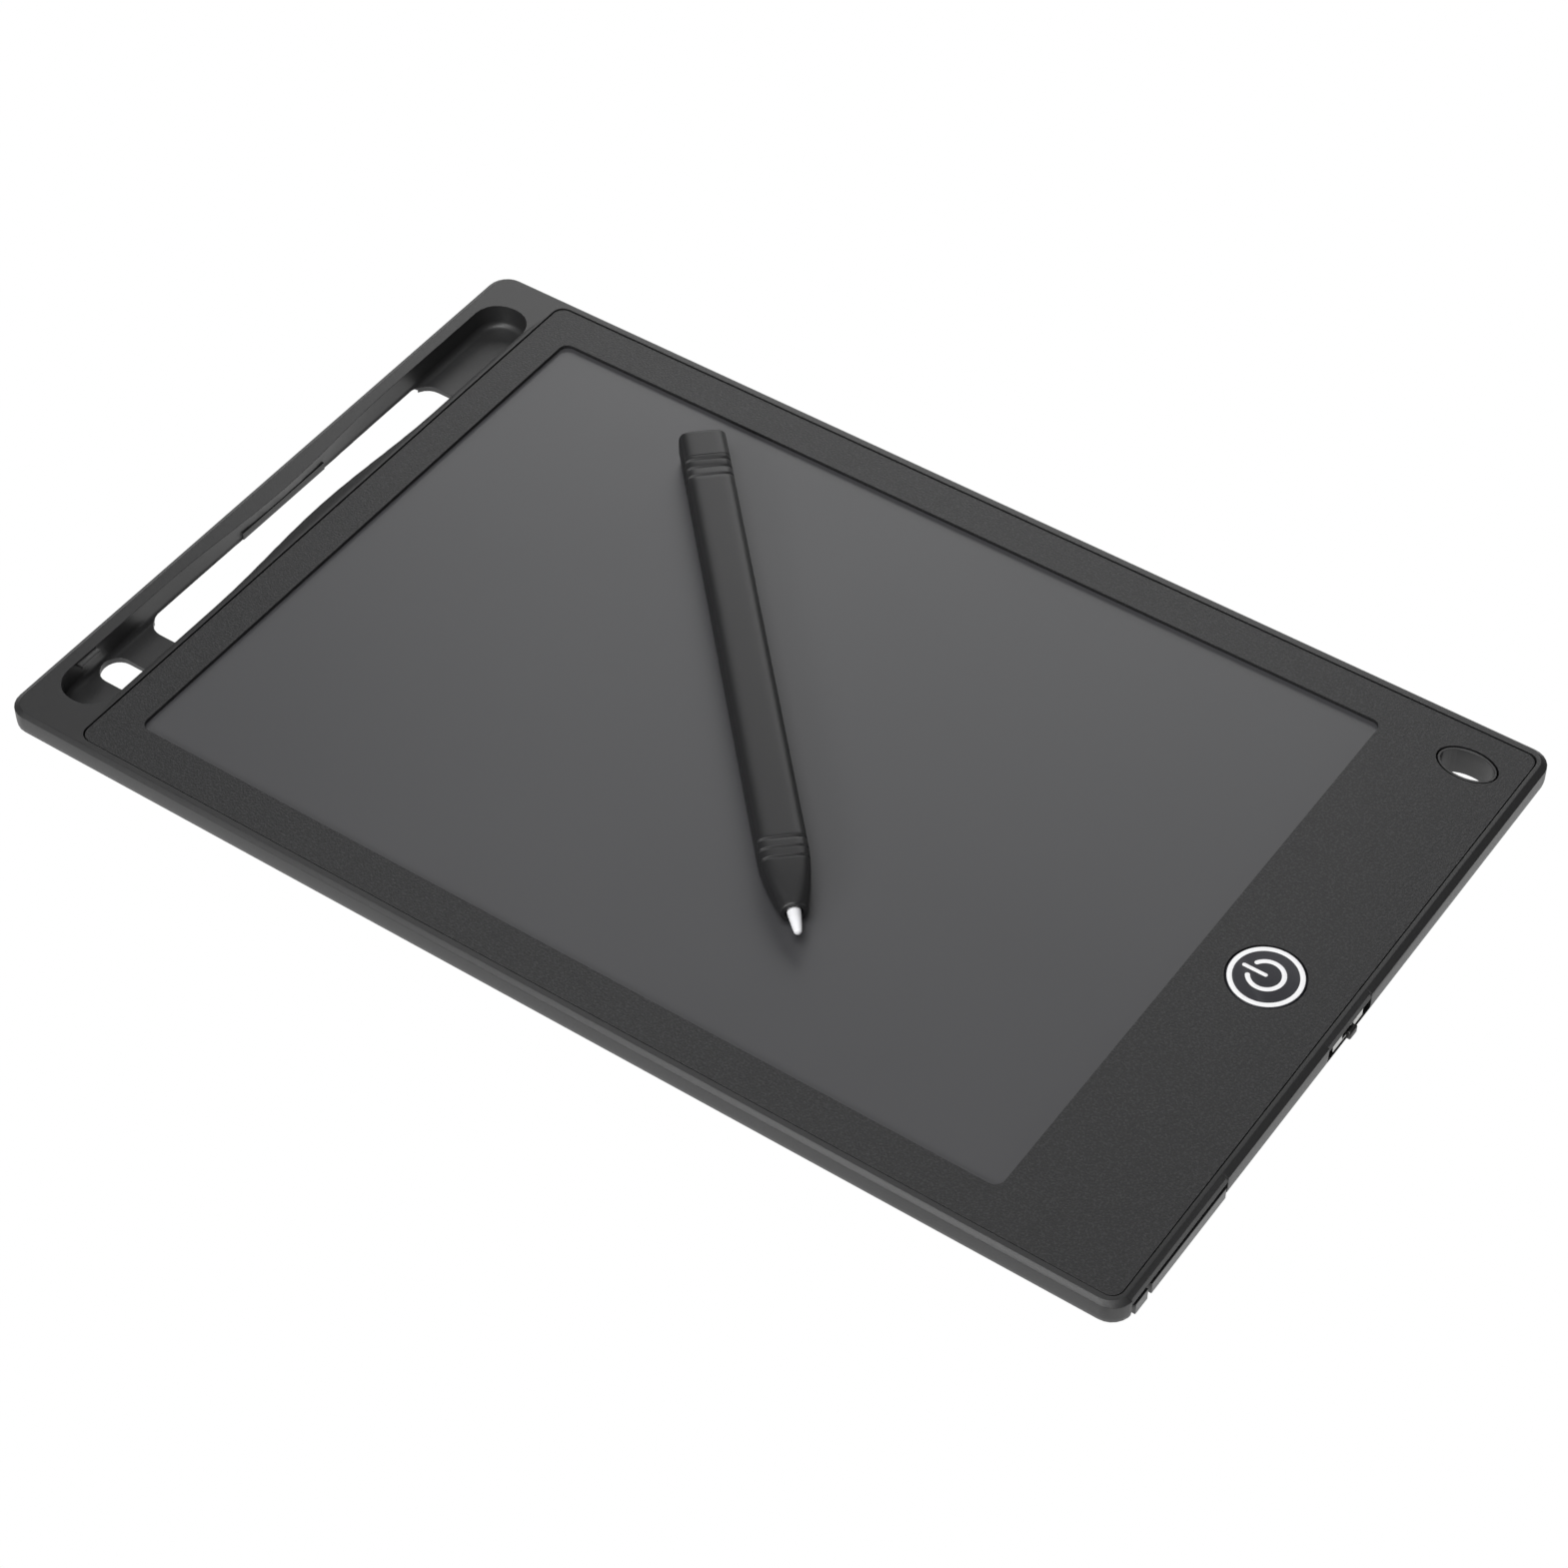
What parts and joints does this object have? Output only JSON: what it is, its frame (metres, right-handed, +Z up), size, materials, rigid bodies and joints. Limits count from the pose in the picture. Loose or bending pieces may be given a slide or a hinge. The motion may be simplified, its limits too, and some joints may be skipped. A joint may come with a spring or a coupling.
{
  "type": "lcd writing tablet",
  "caption": "Slim LCD writing tablet with a pen groove, a round erase button, a lock switch, a battery drawer and a loose stylus.",
  "frame": {"origin": "centre of the underside, with the tablet lying flat", "axes": "+Z up out of the screen, +Y along the tablet from the button end to the pen groove, +X to the right as the screen is read"},
  "size_m": [0.1424, 0.2285, 0.0115],
  "materials": {
    "housing": "fine matte black moulded ABS",
    "panel": "fine textured black ABS",
    "tape": "matte black adhesive tape",
    "film": "satin dark grey liquid crystal film",
    "backing": "matte black sheet",
    "board": "green solder resist on glass fibre board",
    "epoxy": "matte black moulded epoxy",
    "ceramic": "tan sintered ceramic",
    "socket": "cream moulded nylon",
    "tail": "amber polyimide film",
    "metal": "bright plated steel",
    "contact": "nickel plated spring steel",
    "button": "matte black moulded ABS with a white printed symbol",
    "knob": "black moulded nylon",
    "drawer": "fine matte black moulded ABS",
    "stylus": "satin black moulded ABS",
    "nib": "white moulded nylon"
  },
  "bodies": {
    "tablet": {"rear_housing": "housing", "front_panel": "panel", "panel_tape": "tape", "lcd_film": "film", "backing_sheet": "backing", "film_tail": "tail", "tail_socket": "socket", "circuit_board": "board", "control_chip": "epoxy", "boost_inductor": "epoxy", "capacitor_1": "ceramic", "capacitor_2": "ceramic", "capacitor_3": "ceramic", "tact_switch_body": "metal", "slide_switch_case": "metal", "negative_contact": "contact", "positive_contact": "contact"},
    "button": {"erase_button": "button"},
    "plunger": {"tact_switch_plunger": "button"},
    "knob": {"slide_switch_knob": "knob"},
    "drawer": {"battery_drawer": "drawer", "coin_cell": "metal"},
    "catch": {"drawer_catch": "drawer"},
    "stylus": {"stylus_barrel": "stylus", "stylus_nib": "nib", "stylus_end_cap": "stylus"}
  },
  "joints": [
    {"name": "erase_button_press", "type": "slide", "parent": "tablet", "child": "button", "axis": [0, 0, -1], "range_m": [0, 0.0003], "stiffness_N_per_m": 400, "springref_m": -0.0006},
    {"name": "tact_plunger_press", "type": "slide", "parent": "tablet", "child": "plunger", "axis": [0, 0, -1], "range_m": [0, 0.0003]},
    {"name": "lock_switch_slide", "type": "slide", "parent": "tablet", "child": "knob", "axis": [1, 0, 0], "range_m": [-0.001, 0.001]},
    {"name": "battery_drawer_slide", "type": "slide", "parent": "tablet", "child": "drawer", "axis": [0, -1, 0], "range_m": [0, 0.026]},
    {"name": "drawer_catch_flex", "type": "hinge", "parent": "drawer", "child": "catch", "pos_m": [-0.06465, -0.0909, 0.0022], "axis": [0, 0, 1], "range_deg": [0, 1.8], "stiffness_Nm_per_rad": 0.05},
    {"name": "stylus_lift", "type": "slide", "parent": "tablet", "child": "stylus", "axis": [0, 0, 1], "range_m": [0, 0.04]}
  ],
  "couplings": [
    {"joint": "tact_plunger_press", "follows": "erase_button_press", "ratio": 1}
  ]
}
